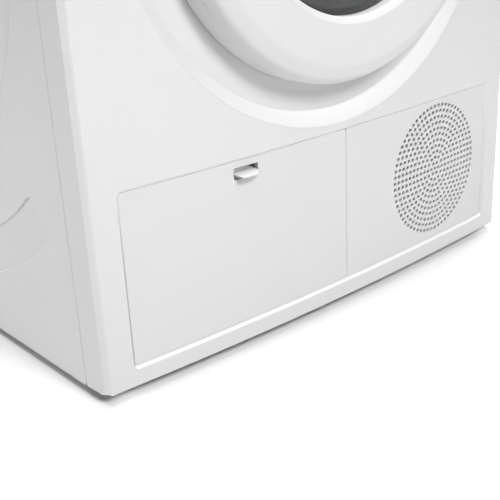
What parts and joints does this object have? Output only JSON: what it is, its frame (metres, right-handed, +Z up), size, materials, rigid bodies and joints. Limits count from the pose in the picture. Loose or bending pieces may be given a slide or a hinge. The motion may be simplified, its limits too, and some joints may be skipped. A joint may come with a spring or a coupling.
{
  "type": "condenser tumble dryer",
  "caption": "Freestanding front-loading condenser dryer with a round door, water drawer, service flap with pull latch and perforated cooling grille in the plinth.",
  "frame": {"origin": "on the floor, at the middle of the outline seen from above", "axes": "+Z up, -Y towards the user (the door side), +X to the right when facing the front"},
  "size_m": [0.598, 0.64, 0.842],
  "materials": {
    "enamel": "smooth white baked enamel, semi-gloss",
    "white_plastic": "white ABS, fine satin",
    "top_laminate": "white laminated board, satin",
    "grey_plastic": "light grey moulded polypropylene",
    "dark_plastic": "dark grey moulded plastic",
    "display": "black gloss panel",
    "door_glass": "smoked tempered glass",
    "galvanised": "galvanised sheet, faint spangle",
    "stainless": "brushed stainless sheet",
    "chromed": "satin chromed ring",
    "aluminium": "mill-finish fins",
    "rubber": "matt black rubber",
    "door_rubber": "grey silicone rubber",
    "felt": "pressed wool felt",
    "steel": "plain steel",
    "bronze": "sintered bronze"
  },
  "bodies": {
    "root": {"front_panel": "enamel", "side_panel_left": "enamel", "side_panel_right": "enamel", "rear_panel": "galvanised", "rear_duct_cover": "galvanised", "worktop": "top_laminate", "control_fascia": "white_plastic", "cable_gland": "dark_plastic", "base_tray": "grey_plastic", "exchanger_core": "aluminium", "exchanger_cover": "grey_plastic", "condensate_pump": "dark_plastic", "grille_panel": "white_plastic", "motor_stator": "steel", "cooling_fan_housing": "grey_plastic", "process_fan_housing": "galvanised", "drive_belt": "rubber", "front_bulkhead": "grey_plastic", "rear_bulkhead": "galvanised", "drum_seal": "felt", "bearing_bush": "bronze", "hinge_bracket": "steel", "drawer_housing": "grey_plastic", "control_module": "dark_plastic", "display_window": "display"},
    "door": {"door_frame": "white_plastic", "door_window": "door_glass", "door_inner_ring": "grey_plastic", "door_seal": "door_rubber", "door_hook": "steel", "door_hinge": "steel"},
    "service_flap": {"service_flap": "white_plastic"},
    "flap_latch": {"flap_latch": "white_plastic"},
    "lock_lever_left": {"lock_lever_left": "white_plastic"},
    "lock_lever_right": {"lock_lever_right": "white_plastic"},
    "drum": {"drum_shell": "stainless", "drum_back": "stainless", "lifter_1": "white_plastic", "lifter_2": "white_plastic", "lifter_3": "white_plastic"},
    "motor_rotor": {"motor_shaft": "steel", "cooling_fan_wheel": "grey_plastic", "process_fan_wheel": "grey_plastic"},
    "idler_arm": {"idler_arm": "steel"},
    "idler_pulley": {"idler_pulley": "dark_plastic"},
    "roller_left": {"roller_left": "dark_plastic"},
    "roller_right": {"roller_right": "dark_plastic"},
    "water_drawer": {"drawer_front": "white_plastic", "drawer_tank": "white_plastic"},
    "lint_filter": {"lint_filter": "dark_plastic"},
    "programme_knob": {"programme_knob": "chromed"},
    "power_button": {"power_button": "white_plastic"},
    "start_button": {"start_button": "white_plastic"},
    "option_button_1": {"option_button_1": "white_plastic"},
    "option_button_2": {"option_button_2": "white_plastic"},
    "option_button_3": {"option_button_3": "white_plastic"},
    "foot_front_left": {"foot_front_left": "rubber"},
    "foot_front_right": {"foot_front_right": "rubber"},
    "foot_rear_left": {"foot_rear_left": "rubber"},
    "foot_rear_right": {"foot_rear_right": "rubber"}
  },
  "joints": [
    {"name": "door_swing", "type": "hinge", "parent": "root", "child": "door", "pos_m": [0.216, -0.302, 0.459], "axis": [0, 0, 1], "range_deg": [0, 160]},
    {"name": "flap_swing", "type": "hinge", "parent": "root", "child": "service_flap", "pos_m": [-0.129, -0.276, 0.045], "axis": [1, 0, 0], "range_deg": [0, 90]},
    {"name": "latch_pivot", "type": "hinge", "parent": "service_flap", "child": "flap_latch", "pos_m": [-0.1265, -0.276, 0.186], "axis": [1, 0, 0], "range_deg": [0, 20], "stiffness_Nm_per_rad": 0.05, "springref_deg": -17.19},
    {"name": "lever_left_turn", "type": "hinge", "parent": "root", "child": "lock_lever_left", "pos_m": [-0.232, -0.256, 0.11], "axis": [0, 1, 0], "range_deg": [0, 90]},
    {"name": "lever_right_turn", "type": "hinge", "parent": "root", "child": "lock_lever_right", "pos_m": [-0.03, -0.256, 0.11], "axis": [0, -1, 0], "range_deg": [0, 90]},
    {"name": "drum_spin", "type": "hinge", "parent": "root", "child": "drum", "pos_m": [0, 0, 0.48], "axis": [0, 1, 0], "continuous": true},
    {"name": "motor_spin", "type": "hinge", "parent": "root", "child": "motor_rotor", "pos_m": [0.165, 0, 0.117], "axis": [0, 1, 0], "continuous": true},
    {"name": "idler_swing", "type": "hinge", "parent": "root", "child": "idler_arm", "pos_m": [0.04294, 0, 0.14046], "axis": [0, 1, 0], "range_deg": [0, 12], "stiffness_Nm_per_rad": 2, "springref_deg": -17.19},
    {"name": "idler_spin", "type": "hinge", "parent": "idler_arm", "child": "idler_pulley", "pos_m": [0.08339, 0, 0.12074], "axis": [0, 1, 0], "continuous": true},
    {"name": "roller_left_spin", "type": "hinge", "parent": "root", "child": "roller_left", "pos_m": [-0.14525, 0, 0.22842], "axis": [0, 1, 0], "continuous": true},
    {"name": "roller_right_spin", "type": "hinge", "parent": "root", "child": "roller_right", "pos_m": [0.14525, 0, 0.22842], "axis": [0, 1, 0], "continuous": true},
    {"name": "drawer_slide", "type": "slide", "parent": "root", "child": "water_drawer", "axis": [0, -1, 0], "range_m": [0, 0.42]},
    {"name": "filter_lift", "type": "slide", "parent": "root", "child": "lint_filter", "axis": [0, 0, 1], "range_m": [0, 0.11]},
    {"name": "knob_turn", "type": "hinge", "parent": "root", "child": "programme_knob", "pos_m": [0, -0.291, 0.762], "axis": [0, 1, 0], "continuous": true},
    {"name": "power_press", "type": "slide", "parent": "root", "child": "power_button", "axis": [0, 1, 0], "range_m": [0, 0.0015], "stiffness_N_per_m": 300, "springref_m": -0.002},
    {"name": "start_press", "type": "slide", "parent": "root", "child": "start_button", "axis": [0, 1, 0], "range_m": [0, 0.0015], "stiffness_N_per_m": 300, "springref_m": -0.002},
    {"name": "option_1_press", "type": "slide", "parent": "root", "child": "option_button_1", "axis": [0, 1, 0], "range_m": [0, 0.0012], "stiffness_N_per_m": 300, "springref_m": -0.002},
    {"name": "option_2_press", "type": "slide", "parent": "root", "child": "option_button_2", "axis": [0, 1, 0], "range_m": [0, 0.0012], "stiffness_N_per_m": 300, "springref_m": -0.002},
    {"name": "option_3_press", "type": "slide", "parent": "root", "child": "option_button_3", "axis": [0, 1, 0], "range_m": [0, 0.0012], "stiffness_N_per_m": 300, "springref_m": -0.002},
    {"name": "foot_front_left_level", "type": "slide", "parent": "root", "child": "foot_front_left", "axis": [0, 0, -1], "range_m": [0, 0.015]},
    {"name": "foot_front_right_level", "type": "slide", "parent": "root", "child": "foot_front_right", "axis": [0, 0, -1], "range_m": [0, 0.015]},
    {"name": "foot_rear_left_level", "type": "slide", "parent": "root", "child": "foot_rear_left", "axis": [0, 0, -1], "range_m": [0, 0.015]},
    {"name": "foot_rear_right_level", "type": "slide", "parent": "root", "child": "foot_rear_right", "axis": [0, 0, -1], "range_m": [0, 0.015]}
  ],
  "couplings": [
    {"joint": "motor_spin", "follows": "drum_spin", "ratio": 22.167},
    {"joint": "idler_spin", "follows": "drum_spin", "ratio": -16.625},
    {"joint": "roller_left_spin", "follows": "drum_spin", "ratio": -11.083},
    {"joint": "roller_right_spin", "follows": "drum_spin", "ratio": -11.083}
  ]
}
